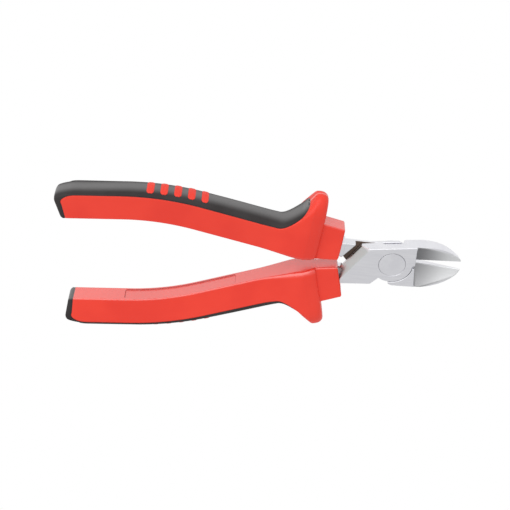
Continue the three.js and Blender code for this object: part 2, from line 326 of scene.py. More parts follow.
def round_min(a, b, size):
    """The smaller of two distances, with a fillet of that size where they meet."""
    return -round_max(-a, -b, size)


def square_to(slope):
    """Share of a height above a sloping face that is the distance square to it, to two digits."""
    return round(1 / math.hypot(1, slope), 2)


def outline_distance(x, y, outline):
    """Signed distance in plan to a closed outline: the nearest side's distance, negative inside,
    where a ray toward +x crosses an odd number of sides."""
    near = np.full(np.broadcast(x, y).shape, np.inf)
    inside = np.zeros(near.shape, bool)
    for (ax, ay), (bx, by) in zip(outline, np.roll(outline, -1, axis=0)):
        dx, dy = bx - ax, by - ay
        t = np.clip(((x - ax) * dx + (y - ay) * dy) / (dx * dx + dy * dy), 0, 1)
        near = np.minimum(near, np.hypot(x - ax - t * dx, y - ay - t * dy))
        if dy:
            inside ^= ((ay > y) != (by > y)) & (x < ax + (y - ay) * dx / dy)
    return np.where(inside, -near, near)


def head_outline(edge_y, side):
    """Plan of one half: the jaw's outer curve is a cubic, the lap boss an arc, the rest straight. The
    back half runs straight from its notch to the arc."""
    t = np.linspace(0, 1, JAW_POINTS)[:, None]
    start, end = np.array((TIP_X, EDGE_GAP + TIP_LAND)), np.array((JAW_STRAIGHT_X, JAW_Y))
    pull, push = (np.array(p) for p in JAW_BULGE)
    jaw = (1 - t) ** 3 * start + 3 * (1 - t) ** 2 * t * pull + 3 * (1 - t) * t * t * push + t ** 3 * end
    leg = [CORNER, LEG_INNER, (LEG_END_X, LEG_INNER[1]), (LEG_END_X, LEG_OUTER_Y), NOTCH]
    start_angle = NOTCH_ANGLE
    if side < 0:
        leg.append(BACK_SHOULDER)
        start_angle = BACK_ANGLE
    boss_y = side * PIVOT_Y
    end_angle = math.asin((edge_y - boss_y) / BOSS_RADIUS)
    turn = np.linspace(math.radians(start_angle), end_angle, BOSS_POINTS)
    boss = BOSS_RADIUS * np.stack((np.cos(turn), np.sin(turn)), -1) + (0, boss_y)
    return np.vstack(([(TIP_X, edge_y)], jaw, leg, boss))


OUTLINE = {side: head_outline(EDGE_GAP, side) for side in (1, -1)}
BACK_OUTLINE = {side: head_outline(EDGE_GAP - BACK_INSET - BACK_MARGIN, side) for side in (1, -1)}
SLANT = (LEG_INNER - CORNER) / np.linalg.norm(LEG_INNER - CORNER)


def leg_face(x):
    """Height of the lap plate's outer face, which slopes down along the leg."""
    return HALF_T + (x - LEG_SLOPE_X) * (HALF_T - LEG_FACE_HALF) / (LEG_SLOPE_X - LEG_END_X)


def bevel_root(across):
    """Where the ground face of a jaw begins, a line that leans toward the tip."""
    return BEVEL_ROOT_X + (BEVEL_FACE_X - BEVEL_ROOT_X) * across / JAW_Y


def bevel_height(x, across):
    """Ground face of a jaw: it rises from the cutting edge and is hollowed by the wheel."""
    edge = EDGE_RISE * (x - BEVEL_ROOT_X)
    share = np.clip((across - EDGE_GAP) / JAW_Y, 0, 1)
    return edge + BEVEL_SLOPE * (across - EDGE_GAP) - BEVEL_HOLLOW * 4 * share * (1 - share)


def lap_plan(x, across, side):
    """Plan of the lap pocket: the boss's circle joined to the wedge up to the leg's shoulder."""
    slope = SLANT[0] / SLANT[1]
    shoulder = CORNER[0] - (across + CORNER[1]) * slope + SHOULDER_GAP / SLANT[1]
    wedge = np.maximum(x - HEEL_X, (x - shoulder) * SLANT[1])
    return np.minimum(wedge, np.hypot(x, across - side * PIVOT_Y) - BOSS_RADIUS - STEP_GAP)


def slant_place(x, across):
    """Distance along the slanted edge from its corner, and distance inward from it."""
    dx, dy = x - CORNER[0], across - CORNER[1]
    return dx * SLANT[0] + dy * SLANT[1], dy * SLANT[0] - dx * SLANT[1]


def tang_field(x, handle_y, z):
    """Distance to the tang: a box with rounded edges carried along the grip's line."""
    station, n = grip_place(x, handle_y)
    in_leg = smooth(station, NECK_X, LEG_END_X)
    centre, width, half = tang_section(station, in_leg)
    box = round_max(np.abs(n - centre) - width, np.abs(z) - half, TANG_ROUND)
    return np.maximum(box, np.maximum(TANG_END_X - station, station - LEG_END_X - TANG_OVERLAP))


def tang_section(station, in_leg):
    """Middle, half width and half thickness of the tang, which grow into the leg's."""
    leg_middle = -(LEG_INNER[1] + LEG_OUTER_Y) / 2 - NECK_Y
    leg_width = (LEG_INNER[1] - LEG_OUTER_Y) / 2
    centre = mix(TANG_OFFSET, leg_middle, in_leg)
    return centre, mix(TANG_WIDTH / 2, leg_width, in_leg), mix(TANG_THICK / 2, LEG_FACE_HALF, in_leg)


def steel_field(x, y, z, side):
    """Below zero in the metal of one half. Its plan and two faces are joined by a rounded maximum,
    and every ground surface takes away the metal on its far side."""
    across, lap = side * y, side * z
    inset = BACK_INSET * np.clip(-z / HALF_T, 0, 1) ** BACK_POWER
    plan = np.maximum(outline_distance(x, across, OUTLINE[side]),
                      outline_distance(x, across, BACK_OUTLINE[side]) + inset)
    heel = HEEL_ROUND * smooth(across, *HEEL_ACROSS) * smooth(x, *HEEL_ALONG)
    pocket = np.minimum(-lap_plan(x, across, side), LAP_GAP / 2 - lap)
    field = round_max(plan, pocket, LAP_ROUND + heel)
    field = round_max(field, np.abs(z) - HALF_T)
    field = round_max(field, lap - leg_face(x))
    field = round_max(field, np.minimum(LEG_SLOPE_X - x, -LEG_HALF - lap))
    field = round_min(field, tang_field(x, -across, z), EDGE_ROUND)
    along, depth = slant_place(x, across)
    strip = lap - leg_face(x) + STRIP_DROP * (1 - depth / STRIP_WIDTH)
    strip = strip * square_to(STRIP_DROP / STRIP_WIDTH)
    ends = np.minimum(along + 2 * STRIP_WIDTH, x - COLLAR_END_X + STRIP_RUN)
    field = round_max(field, np.minimum(strip, ends))
    field = round_max(field, (NOSE_SLOPE * (x - NOSE_BACK_X) - HALF_T - z) * square_to(NOSE_SLOPE))
    field = round_max(field, z - HALF_T + NOSE_FRONT_SLOPE * (x - NOSE_BACK_X))
    bevel = (z - bevel_height(x, across)) * square_to(BEVEL_SLOPE)
    field = round_max(field, round_min(x - bevel_root(across), bevel, BEVEL_FILLET), GROUND_ROUND)
    edge = EDGE_RISE * (x - BEVEL_ROOT_X)
    relief = (EDGE_GAP + RELIEF_SLOPE * (edge - z) - across) * square_to(RELIEF_SLOPE)
    field = round_max(field, np.minimum(x - BEVEL_ROOT_X, relief), GROUND_ROUND)
    rim = HALF_T - RIVET_RIM
    bore = np.clip(RIVET_HEAD + np.abs(z) - rim, RIVET_SHANK, RIVET_HEAD) + RIVET_GAP
    return round_max(field, bore - np.hypot(x, y - PIVOT_Y), BORE_ROUND)


def net_surface(field, axes):
    """Quads where a field on a box grid crosses zero: each cell that the surface passes has one
    point, the mean of the crossings on its edges, and each crossed edge joins its four cells."""
    cells = np.array(field.shape) - 1
    strides = np.array((cells[1] * cells[2], cells[2], 1))
    ids, places, rings = [], [], []
    for axis in range(3):
        low = np.take(field, np.arange(cells[axis]), axis)
        high = np.take(field, np.arange(1, cells[axis] + 1), axis)
        at = np.argwhere((low < 0) != (high < 0))
        a, b = low[tuple(at.T)], high[tuple(at.T)]
        place = np.stack([axes[i][at[:, i]] for i in range(3)], -1)
        step = axes[axis][at[:, axis] + 1] - axes[axis][at[:, axis]]
        place[:, axis] += step * a / (a - b)
        u, v = (axis + 1) % 3, (axis + 2) % 3
        ring = []
        for du, dv in ((0, 0), (1, 0), (1, 1), (0, 1)):
            cell = at.copy()
            cell[:, u] -= du
            cell[:, v] -= dv
            ring.append(cell @ strides)
            ids.append(ring[-1])
            places.append(place)
        ring = np.stack(ring, -1)
        rings.append(np.where((a < 0)[:, None], ring, ring[:, ::-1]))
    ids, places, rings = np.concatenate(ids), np.concatenate(places), np.concatenate(rings)
    used, index, count = np.unique(ids, return_inverse=True, return_counts=True)
    points = np.stack([np.bincount(index, places[:, i]) for i in range(3)], -1) / count[:, None]
    return points, np.searchsorted(used, rings)


def settle(points, field, reach):
    """Moves points onto the surface along the field's slope, three Newton steps."""
    nudge, flattest = 0.02, 0.25
    for _ in range(3):
        x, y, z = points.T
        value = field(x, y, z)
        slope = np.stack((field(x + nudge, y, z) - field(x - nudge, y, z),
                          field(x, y + nudge, z) - field(x, y - nudge, z),
                          field(x, y, z + nudge) - field(x, y, z - nudge)), -1) / (2 * nudge)
        size = np.maximum((slope * slope).sum(1), flattest)
        step = np.clip(value / size, -reach, reach)
        points = points - slope * step[:, None]
    return points


def steel_marks(points, side):
    """How far each point is ground, oxidised or on the slanted strip, from the surfaces it lies on, and
    how far it lies past the bevel's root, which sets the bevel's painted shade.
    """
    x, across, lap = points[:, 0], side * points[:, 1], side * points[:, 2]
    off_bevel = np.abs(points[:, 2] - bevel_height(x, across))
    root = x - bevel_root(across)
    bevel = smooth(off_bevel, *BEVEL_OFF) * smooth(root, *BEVEL_START)
    along, depth = slant_place(x, across)
    off_strip = np.abs(lap - leg_face(x) + STRIP_DROP * (1 - depth / STRIP_WIDTH))
    strip = smooth(off_strip, *STRIP_OFF) * smooth(along, *STRIP_START) * smooth(depth, *STRIP_EDGE)
    floor = smooth(lap_plan(x, across, side), *OXIDE_PLAN) * smooth(lap, *OXIDE_LAP)
    return {"bevel": bevel, "root": root, "strip": strip, "pocket": floor * smooth(x, *OXIDE_X)}


def steel_half(name, side, body, material):
    """One lapped half with its tang, netted from its field on a grid that is coarse along the tang."""
    xs = np.concatenate((np.arange(TANG_END_X - GRID_MARGIN, NECK_X, TANG_PITCH),
                         np.arange(NECK_X, TIP_X + GRID_MARGIN, STEEL_PITCH)))
    ys = np.sort(side * np.arange(TANG_LOW_Y, JAW_Y + GRID_MARGIN, STEEL_PITCH))
    zs = np.arange(-HALF_T - GRID_MARGIN / 2, HALF_T + GRID_MARGIN, STEEL_PITCH)
    values = steel_field(xs[:, None, None], ys[None, :, None], zs[None, None, :], side)
    points, quads = net_surface(values, (xs, ys, zs))
    points = settle(points, lambda x, y, z: steel_field(x, y, z, side), STEEL_PITCH)
    marks = steel_marks(points, side)
    faces = outward(points, quads.tolist())
    return piece(name + "_steel", to_row(points, side), faces, body, material, [name], marks)


# Grips as rings carried along their inner ridge


def ramp(t, w):
    """0 before -w, t after w, and a parabola between them."""
    return np.where(t > w, t, np.clip(t + w, 0, 2 * w) ** 2 / (4 * w))


def ramp_slope(t, w):
    """Slope of the ramp."""
    return np.clip((t + w) / (2 * w), 0, 1)


def ridge_y(x):
    """Line of the inner ridge: level at the neck, straight outward, then bent back to the end."""
    rise = MIDDLE_SLOPE * ramp(NECK_X - x, NECK_BLEND)
    return NECK_Y + rise - (MIDDLE_SLOPE - REAR_SLOPE) * ramp(BEND_X - x, BEND_BLEND)


def grip_lean(x):
    """Slope that each section leans by: the ridge's own, and the end face's over the last stretch."""
    slope = MIDDLE_SLOPE * ramp_slope(NECK_X - x, NECK_BLEND)
    slope = slope - (MIDDLE_SLOPE - REAR_SLOPE) * ramp_slope(BEND_X - x, BEND_BLEND)
    along = np.where(x > NECK_X - NECK_BLEND, np.maximum(slope, NECK_LEAN), slope)
    return mix(along, END_LEAN, 1 - smooth(x, GRIP_END_X, GRIP_END_X + END_LEAN_LENGTH))


def grip_point(x, n, z):
    """Point at station x, n out from the ridge along the leaning section, z off the mid plane."""
    lean = grip_lean(x)
    size = np.sqrt(1 + lean * lean)
    return np.stack(np.broadcast_arrays(x + n * lean / size, ridge_y(x) + n / size, z), -1)


def grip_place(x, y):
    """Station and reach of a point in plan, found by sliding the station four times."""
    station = x + 0 * y
    for _ in range(4):
        lean = grip_lean(station)
        n = (y - ridge_y(station)) * np.sqrt(1 + lean * lean)
        station = x - n * lean / np.sqrt(1 + lean * lean)
    return station, n


def crown(x):
    """Depth of the rounded back, from its end to the guard."""
    return mix(CROWN_END, CROWN_FRONT, smooth(x, CROWN_END_X, CROWN_FRONT_X))


def outer_reach(x):
    """Reach of the back: face and crown, an elliptic corner at the end and the rise of the guard."""
    along = np.clip((CROWN_END_X - x) / END_ROUND, 0, 1)
    rounded = END_OUTER + (1 - END_OUTER) * np.sqrt(1 - along * along)
    return (FACE_WIDTH + crown(x)) * rounded + GUARD_HEIGHT * smooth(x, GUARD_START_X, GUARD_TOP_X)


def rim_round(x):
    """Inset of the guard's front rim: a quarter circle over its last stretch."""
    t = np.clip((x - GUARD_FACE_X + GUARD_EDGE) / GUARD_EDGE, 0, 1)
    return GUARD_EDGE * (1 - np.sqrt(1 - t * t))


def flare(x):
    """Share of the thickening toward the guard."""
    return smooth(x, FLARE_START_X, FLARE_TOP_X)


def ridge_round(x):
    """Size of the rounding beside the inner face, which grows with the thickness."""
    return RIDGE_ROUND + NECK_ROUND * flare(x)


def thinning(x):
    """Fall of the guard's faces from their crease to the rim, which is rounded."""
    fall = ramp(x - CREASE_X, CREASE_BLEND) / (GUARD_FACE_X - CREASE_X)
    return GUARD_FALL * fall + RIM_FALL * rim_round(x)


def skin(x, q):
    """Reach and height of the skin, q 0 at the ridge, 1 at the foot of the crown, 2 at the top.
    The face is straight, and the crown's sine and cosine are raised to one power."""
    rim = rim_round(x)
    outer = outer_reach(x) - rim
    depth = crown(x) + (GUARD_CROWN - CROWN_FRONT) * smooth(x, GUARD_CROWN_X, GUARD_TOP_X)
    half = FACE_HALF + FACE_FLARE * flare(x) - thinning(x)
    ridge = RIDGE_HALF + RIDGE_FLARE * flare(x) - thinning(x)
    flat = np.clip(q, 0, 1)
    turn = np.clip(q - 1, 0, 1) * math.pi / 2
    n = mix(ridge_round(x), outer - depth, flat) + depth * np.sin(turn) ** CROWN_POWER
    z = mix(ridge, half, flat) * np.cos(turn) ** CROWN_POWER
    return n, z


def seam(x):
    """Where the soft cover meets the hard body: the crown's foot, rounded up to the tip behind the
    guard and rounded down to the end."""
    rise = np.clip((x - SOFT_RISE_X) / (SOFT_TIP_X - SOFT_RISE_X), 0, 1)
    up = (SOFT_TIP_Q - 1) * (1 - np.sqrt(1 - rise ** SOFT_RISE_POWER))
    fall = np.clip(1 - (x - SOFT_SPLIT_X) / SOFT_CORNER, 0, 1)
    down = SOFT_CORNER / FACE_WIDTH * (1 - np.sqrt(1 - fall * fall))
    return 1 + up - down


def skin_rate(x, q):
    """Millimetres of skin for one unit of q."""
    step = 0.03
    n0, z0 = skin(x, q - step)
    n1, z1 = skin(x, q + step)
    return np.hypot(n1 - n0, z1 - z0) / (2 * step)


INNER_FLAT = RIDGE_HALF - RIDGE_ROUND
PANEL_FLAT = PANEL_HALF - PANEL_CORNER
INNER_Z = np.concatenate((np.linspace(0, PANEL_FLAT - COLUMN_GAP, PANEL_COLUMNS[0]),
                          np.linspace(PANEL_FLAT, PANEL_HALF - COLUMN_GAP, PANEL_COLUMNS[1]),
                          PANEL_HALF + PANEL_STEPS,
                          (mix(PANEL_HALF, INNER_FLAT, BESIDE_PANEL), INNER_FLAT)))


def panel_depth(x, z):
    """Depth of the panel sunk into the inner face, a rectangle with round corners."""
    middle, half = sum(PANEL_X) / 2, (PANEL_X[1] - PANEL_X[0]) / 2
    dx = np.abs(x - middle) - half + PANEL_CORNER
    dz = np.abs(z) - PANEL_HALF + PANEL_CORNER
    outside = np.hypot(np.maximum(dx, 0), np.maximum(dz, 0)) + np.minimum(np.maximum(dx, dz), 0)
    return PANEL_DEPTH * smooth(outside - PANEL_CORNER, PANEL_WALL, -PANEL_WALL)


def panel_shade_line(x):
    """Share of the panel's wall at each point of the inner face, most at half its depth; it sets the
    painted shade along the wall.
    """
    share = panel_depth(x[:, None], INNER_Z) / PANEL_DEPTH
    return 4 * share * (1 - share)


def inner_columns(x):
    """Inner face with its panel, and the rounded ridge beside it."""
    x = x[:, None]
    turn = quarter(EDGE_COLUMNS + 1)[1:]
    round_edge = ridge_round(x)
    flat = RIDGE_HALF + RIDGE_FLARE * flare(x) - thinning(x) - round_edge
    z = np.hstack((INNER_Z * flat / INNER_FLAT, flat + round_edge * np.sin(turn)))
    return np.hstack((panel_depth(x, INNER_Z), round_edge * (1 - np.cos(turn)))), z


def whole_ring(x, n, z):
    """Full rings from the half from the inner face's middle to the top of the back."""
    front = grip_point(x[:, None], n, z)
    back = front[:, -2:0:-1] * (1, 1, -1)
    return np.concatenate((front, back), 1)


def sink(points, depth):
    """Moves a grid of rings inward by that depth along its normals."""
    along = np.gradient(points, axis=0)
    around = (np.roll(points, -1, 1) - np.roll(points, 1, 1)) / 2
    normal = np.cross(around, along)
    normal /= np.maximum(np.linalg.norm(normal, axis=2, keepdims=True), 1e-9)
    return points + normal * depth[..., None]


def mirrored(values):
    """Values on the half ring repeated on the other half."""
    return np.concatenate((values, values[:, -2:0:-1]), 1)


def box_half(rows, inner, outer, half, corner):
    """Half rings of a box with round corners, with as many points as a ring of the grip."""
    turn = quarter(EDGE_COLUMNS + 1)[1:]
    bend = quarter(BEND_COLUMNS + 2)[1:-1]
    inner, outer, half, corner = (np.reshape(size * np.ones(rows), (-1, 1))
                                  for size in (inner, outer, half, corner))
    share = np.linspace(0, 1, FRONT_COLUMNS + 1)[1:]
    rest = np.linspace(1, 0, FLOOR_COLUMNS)
    n = np.hstack((inner * np.ones_like(INNER_Z), inner + corner * (1 - np.cos(turn)),
                   mix(inner + corner, outer - corner, share), outer - corner * (1 - np.sin(bend)),
                   outer * np.ones_like(rest)))
    z = np.hstack(((half - corner) * INNER_Z / INNER_FLAT, half - corner * (1 - np.sin(turn)),
                   half * np.ones_like(share), half - corner * (1 - np.cos(bend)),
                   (half - corner) * rest))
    return n, z


def grip_stations():
    """Stations of the body, close at the end, the panel's ends, the seam's tip and the rim."""
    close = np.concatenate((SEAM_REACH, np.linspace(1.5 * SEAM_REACH[0], SOFT_CORNER, CORNER_RINGS)))
    panel = np.linspace(-PANEL_REACH, PANEL_CORNER + PANEL_REACH, PANEL_RINGS)
    middle = np.linspace(SOFT_SPLIT_X + SOFT_CORNER, GUARD_START_X, MIDDLE_RINGS)[1:]
    guard = np.linspace(GUARD_START_X, GUARD_FACE_X - GUARD_EDGE, GUARD_RINGS)
    tip = SOFT_TIP_X - TIP_STRETCH * (1 - np.sin(quarter(TIP_RINGS)))
    crease = CREASE_X + np.linspace(-1, 1, CREASE_RINGS)
    rim = GUARD_FACE_X - GUARD_EDGE * (1 - np.sin(quarter(RIM_RINGS)))
    spans = (SOFT_SPLIT_X + close, PANEL_X[0] + panel, PANEL_X[1] - panel, middle, guard, tip, crease, rim)
    stations = np.unique(np.concatenate(spans).round(3))
    return stations[np.append(True, np.diff(stations) > RING_GAP)]


INNER_GLOSS = np.concatenate((np.ones(len(INNER_Z)), np.linspace(1, 0, EDGE_COLUMNS)))


def grip_gloss():
    """Polish of the grip's columns: the inner face and the top of the back, not the front face."""
    back = smooth(np.linspace(0, 1, FLOOR_COLUMNS + 1), *TOP_POLISH)
    return np.concatenate((INNER_GLOSS, np.zeros(FRONT_COLUMNS - 1 + len(SEAM_DIP)), back))


def collar_gloss():
    """Polish of the collar's columns: its inner and outer faces."""
    bend = np.linspace(0, 1, BEND_COLUMNS + 2)[1:-1]
    return np.concatenate((INNER_GLOSS, np.zeros(FRONT_COLUMNS), bend, np.ones(FLOOR_COLUMNS)))


def hard_rows():
    """Rings of the hard body up to the guard's rim, with a seat sunk for the soft cover."""
    x = grip_stations()
    foot = seam(x)[:, None]
    rate = skin_rate(x[:, None], foot)
    lip = foot - SEAM_REACH / rate
    share = np.linspace(0, 1, FRONT_COLUMNS + 1)[1:-1]
    face = lip[:, :1] * share
    floor = mix(foot + SEAT_STEP / rate, 2, np.linspace(0, 1, FLOOR_COLUMNS + 1))
    q = np.hstack((face, lip, floor))
    n, z = skin(x[:, None], q)
    inner_n, inner_z = inner_columns(x)
    rings = whole_ring(x, np.hstack((inner_n, n)), np.hstack((inner_z, z)))
    fade = 1 - smooth(x, SOFT_TIP_X - SEAM_REACH[0], SOFT_TIP_X)[:, None]
    dips = np.concatenate((np.zeros(len(INNER_Z) + EDGE_COLUMNS + len(share)), SEAM_DIP,
                           np.full(FLOOR_COLUMNS + 1, SEAT_DEPTH)))
    end = np.interp(x - SOFT_SPLIT_X, SEAM_REACH[::-1], SEAM_DIP[::-1])[:, None]
    return sink(rings, mirrored(np.maximum(dips * fade, end)))


def front_rows(last):
    """Rings from the guard's rim over its front face to the collar, the mouth and the cavity."""
    turn = quarter(FILLET_RINGS)
    fillet = COLLAR_FILLET * (1 - np.sin(turn))
    fillet_x = GUARD_FACE_X + COLLAR_FILLET * (1 - np.cos(turn))
    run = np.linspace(GUARD_FACE_X + 2 * COLLAR_FILLET, COLLAR_END_X - COLLAR_EDGE, COLLAR_RINGS)
    edge = COLLAR_EDGE * (1 - np.cos(turn))[1:]
    edge_x = COLLAR_END_X - COLLAR_EDGE * (1 - np.sin(turn))[1:]
    x = np.concatenate((fillet_x, run, edge_x))
    grow = np.concatenate((fillet, 0 * run, -edge))
    outer = mix(*COLLAR_OUTER, (x - GUARD_FACE_X) / (COLLAR_END_X - GUARD_FACE_X))
    n, z = box_half(len(x), np.maximum(-grow, 0), outer + grow, COLLAR_HALF + grow, COLLAR_EDGE)
    collar = whole_ring(x, n, z)
    hole_x = np.concatenate(((COLLAR_END_X, COLLAR_END_X - MOUTH_DEPTH),
                             np.linspace(COLLAR_END_X - HOLE_START, TANG_END_X - TANG_GAP, HOLE_RINGS)))
    room = TANG_GAP + MOUTH_FLARE * (hole_x == COLLAR_END_X)
    centre, width, half = tang_section(hole_x, smooth(hole_x, NECK_X, LEG_END_X))
    n, z = box_half(len(hole_x), centre - width - room, centre + width + room, half + room, HOLE_ROUND)
    hole = whole_ring(hole_x, n, z)
    bridge = mix(last, collar[:1], BRIDGE[:, None, None])
    shine = np.repeat((0, 1, 0), (len(bridge), len(collar), len(hole)))
    return np.concatenate((bridge, collar, hole)), shine[:, None] * collar_gloss()


def hard_body():
    """Closed mesh of one hard body in the drawing frame, with its polish and the painted shade line along
    the panel's wall.
    """
    rows = hard_rows()
    front, shine = front_rows(rows[-1:])
    gloss = np.vstack((np.tile(grip_gloss(), (len(rows), 1)), shine))
    # The panel's line is painted shade along its wall, with less polish there.
    line = np.zeros(gloss.shape)
    line[:len(rows), :len(INNER_Z)] = panel_shade_line(grip_stations())
    marks = {"gloss": mirrored(gloss * (1 - line)).ravel(), "line": mirrored(line).ravel()}
    rows = np.concatenate((rows, front))
    count = rows.shape[1]
    points = rows.reshape(-1, 3)
    last = (len(rows) - 1) * count
    faces = grid_faces(len(rows), count) + zip_cap(0, count, True) + zip_cap(last, count, False)
    return points, outward(points, faces), marks


def soft_cover():
    """Outer skin of the soft cover: a strip over the crown up to its tip, and the whole end. Its
    polish grows toward the top of the back."""
    strip_x = grip_stations()
    strip_x = strip_x[strip_x <= SOFT_TIP_X]
    end_x = GRIP_END_X + SOFT_END_ROUND * (1 - np.sin(quarter(END_RINGS)))
    cap_x = np.unique(np.concatenate((end_x, SOFT_SPLIT_X - SEAM_REACH[:-1])).round(3))
    x = np.concatenate((cap_x, strip_x))
    foot = seam(np.maximum(x, SOFT_SPLIT_X))[:, None]
    rate = skin_rate(x[:, None], foot)
    share = np.linspace(0, 1, FRONT_COLUMNS + 1)[1:-1]
    lip = foot + SEAM_REACH[::-1] / rate * np.minimum(1, (2 - foot) * rate / SOFT_LIP_ROOM)
    over = mix(lip[:, -1:], 2, np.linspace(0, 1, FLOOR_COLUMNS + 3)[1:])
    q = np.hstack((foot * share, lip, over))
    n, z = skin(x[:, None], q)
    inner_n, inner_z = inner_columns(x)
    n, z = np.hstack((inner_n, n)), np.hstack((inner_z, z))
    gloss = np.hstack((np.tile(INNER_GLOSS, (len(x), 1)), smooth(q, *SOFT_SHEEN_Q)))
    to_end = np.clip(SOFT_END_ROUND - x + GRIP_END_X, 0, SOFT_END_ROUND)
    inset = SOFT_END_ROUND - np.sqrt(SOFT_END_ROUND ** 2 - to_end ** 2)
    middle = outer_reach(x)[:, None] / 2
    shrink = 1 - inset[:, None] / np.maximum(middle, 1)
    n = middle + (n - middle) * shrink
    z = z * (1 - inset[:, None] / FACE_HALF)
    rings = whole_ring(x, n, z)
    hidden = len(INNER_Z) + EDGE_COLUMNS + len(share)
    dips = np.concatenate((np.zeros(hidden), SEAM_DIP[::-1], np.zeros(FLOOR_COLUMNS + 2)))
    on_strip = (x >= SOFT_SPLIT_X)[:, None]
    edge = np.interp(SOFT_SPLIT_X - x, SEAM_REACH[::-1], SEAM_DIP[::-1])[:, None]
    before = np.arange(len(dips)) < hidden
    rings = sink(rings, mirrored(np.where(on_strip, dips, 0) + np.where(before & ~on_strip, edge, 0)))
    count = rings.shape[1]
    faces = np.array(grid_faces(len(rings), count)).reshape(len(rings) - 1, count, 4)
    column = np.arange(count)
    shown = (column >= hidden) & (column < count - hidden)
    keep = np.zeros(faces.shape[:2], bool)
    keep[:len(cap_x)] = True
    keep[len(cap_x):] = shown
    faces = faces[keep].tolist() + zip_cap(0, count, True)
    return drop_loose(rings.reshape(-1, 3), [face[::-1] for face in faces], mirrored(gloss).ravel())


def drop_loose(points, faces, gloss):
    """Leaves out the points that no face uses."""
    used = np.unique(np.concatenate([np.array(face) for face in faces]))
    place = np.zeros(len(points), int)
    place[used] = np.arange(len(used))
    return points[used], [[int(place[i]) for i in face] for face in faces], gloss[used]


def bars():
    """Round-ended bars across the back: a grid on the skin, u along the grip and v over the back. The
    width falls toward the ends as the root of one less a high power of v, and the edge is sunk."""
    points, faces = [], []
    index = np.arange(BAR_ROWS * BAR_COLUMNS).reshape(BAR_ROWS, BAR_COLUMNS)
    quads = np.stack((index[:-1, :-1], index[1:, :-1], index[1:, 1:], index[:-1, 1:]), -1).reshape(-1, 4)
    u = np.sin(np.linspace(-1, 1, BAR_ROWS) * math.pi / 2)[:, None]
    v = np.sin(np.linspace(-1, 1, BAR_COLUMNS) * math.pi / 2)
    edge = np.minimum(1 - np.abs(u), 4 * (1 - np.abs(v)))
    narrow = np.sqrt(1 + BAR_END_WIDTH - np.abs(v) ** BAR_END_POWER)
    high = mix(-BAR_HEIGHT, BAR_HEIGHT, smooth(edge, 0, BAR_EDGE))
    for k in range(BAR_COUNT):
        x = BAR_X + BAR_PITCH * k + BAR_HALF_WIDTH * u * narrow
        q = 2 - BAR_REACH * np.abs(v) + 0 * u
        n, z = skin(x, q)
        place = grip_point(x, n + high * (q - 1), np.sign(v) * (z + high * (2 - q)))
        points.append(place.reshape(-1, 3))
        faces += (quads + k * index.size).tolist()
    return np.concatenate(points), faces


def rivet():
    """Rivet turned from its profile: flush heads with a fine rim, and the shank between them."""
    rim, fine = HALF_T - RIVET_RIM, RIVET_FINE
    face = [(ring, HALF_T) for ring in (*RIVET_RINGS, RIVET_HEAD - 2 * fine, RIVET_HEAD - fine)]
    side = [(RIVET_HEAD, height) for height in (HALF_T - fine, HALF_T - 2 * fine, rim)]
    head = np.array((*face, *side, (RIVET_SHANK, rim - RIVET_HEAD + RIVET_SHANK)))
    profile = np.vstack((head, head[::-1] * (1, -1)))
    turn = np.linspace(0, 2 * math.pi, RIVET_SIDES, endpoint=False)
    radius, height = profile[:, :1], profile[:, 1:]
    rings = np.broadcast_arrays(radius * np.cos(turn), radius * np.sin(turn), height)
    points = np.stack(rings, -1).reshape(-1, 3)
    count = len(turn)
    last = (len(profile) - 1) * count
    caps = [list(range(count)), list(range(last, last + count))[::-1]]
    return points, outward(points, grid_faces(len(profile), count) + caps)


# Materials


class Wire:
    """A node's output. Operators on values add the Math nodes that work them out."""

    def __init__(self, tree, socket=None):
        self.tree = tree
        self.socket = socket

    def add(self, kind, settings=None, sockets=None, out=0):
        """Adds a node: its settings first, then the values or links of its sockets."""
        node = self.tree.nodes.new(kind)
        for key, value in (settings or {}).items():
            setattr(node, key, value)
        for key, value in (sockets or {}).items():
            if isinstance(value, Wire):
                self.tree.links.new(value.socket, node.inputs[key])
            else:
                node.inputs[key].default_value = value
        return Wire(self.tree, node.outputs[out] if node.outputs else None)

    def math(self, operation, first, second):
        """A Math node on two values."""
        return self.add("ShaderNodeMath", {"operation": operation}, {0: first, 1: second})

    def __add__(self, other):
        return self.math("ADD", self, other)

    def __sub__(self, other):
        return self.math("SUBTRACT", self, other)

    def __rsub__(self, other):
        return self.math("SUBTRACT", other, self)

    def __mul__(self, other):
        return self.math("MULTIPLY", self, other)

    __radd__ = __add__
    __rmul__ = __mul__

    def ease(self, low, high):
        """0 below low, 1 above high, smooth between."""
        sockets = {"Value": self, "From Min": low, "From Max": high}
        return self.add("ShaderNodeMapRange", {"interpolation_type": "SMOOTHSTEP"}, sockets)

    def blend(self, first, second):
        """Colour mixed from first to second by this value."""
        sockets = {"Factor": self, 6: first, 7: second}
        return self.add("ShaderNodeMix", {"data_type": "RGBA", "clamp_factor": True}, sockets, 2)

    def mark(self, name):
        """One of the piece's own float attributes."""
        return self.add("ShaderNodeAttribute", {"attribute_name": name}, out=2)

    def noise(self, scale, detail, stretch=(1, 1, 1)):
        """Noise on the piece's own coordinates, scale per metre, stretched by axis."""
        place = self.add("ShaderNodeTexCoord", out=3)
        drawn = self.add("ShaderNodeMapping", sockets={"Vector": place, "Scale": stretch})
        sockets = {"Vector": drawn, "Scale": scale, "Detail": detail}
        return self.add("ShaderNodeTexNoise", sockets=sockets)

    def bump(self, height, strength, distance):
        """Normal bent by a height."""
        sockets = {"Height": height, "Strength": strength, "Distance": distance}
        return self.add("ShaderNodeBump", sockets=sockets)


def finish_of(name, build):
    """A material whose build function gives the shader's sockets."""
    material = bpy.data.materials.new(name)
    material.use_nodes = True
    tree = material.node_tree
    tree.nodes.clear()
    start = Wire(tree)
    shader = start.add("ShaderNodeBsdfPrincipled", sockets=build(start))
    start.add("ShaderNodeOutputMaterial", sockets={"Surface": shader})
    return material


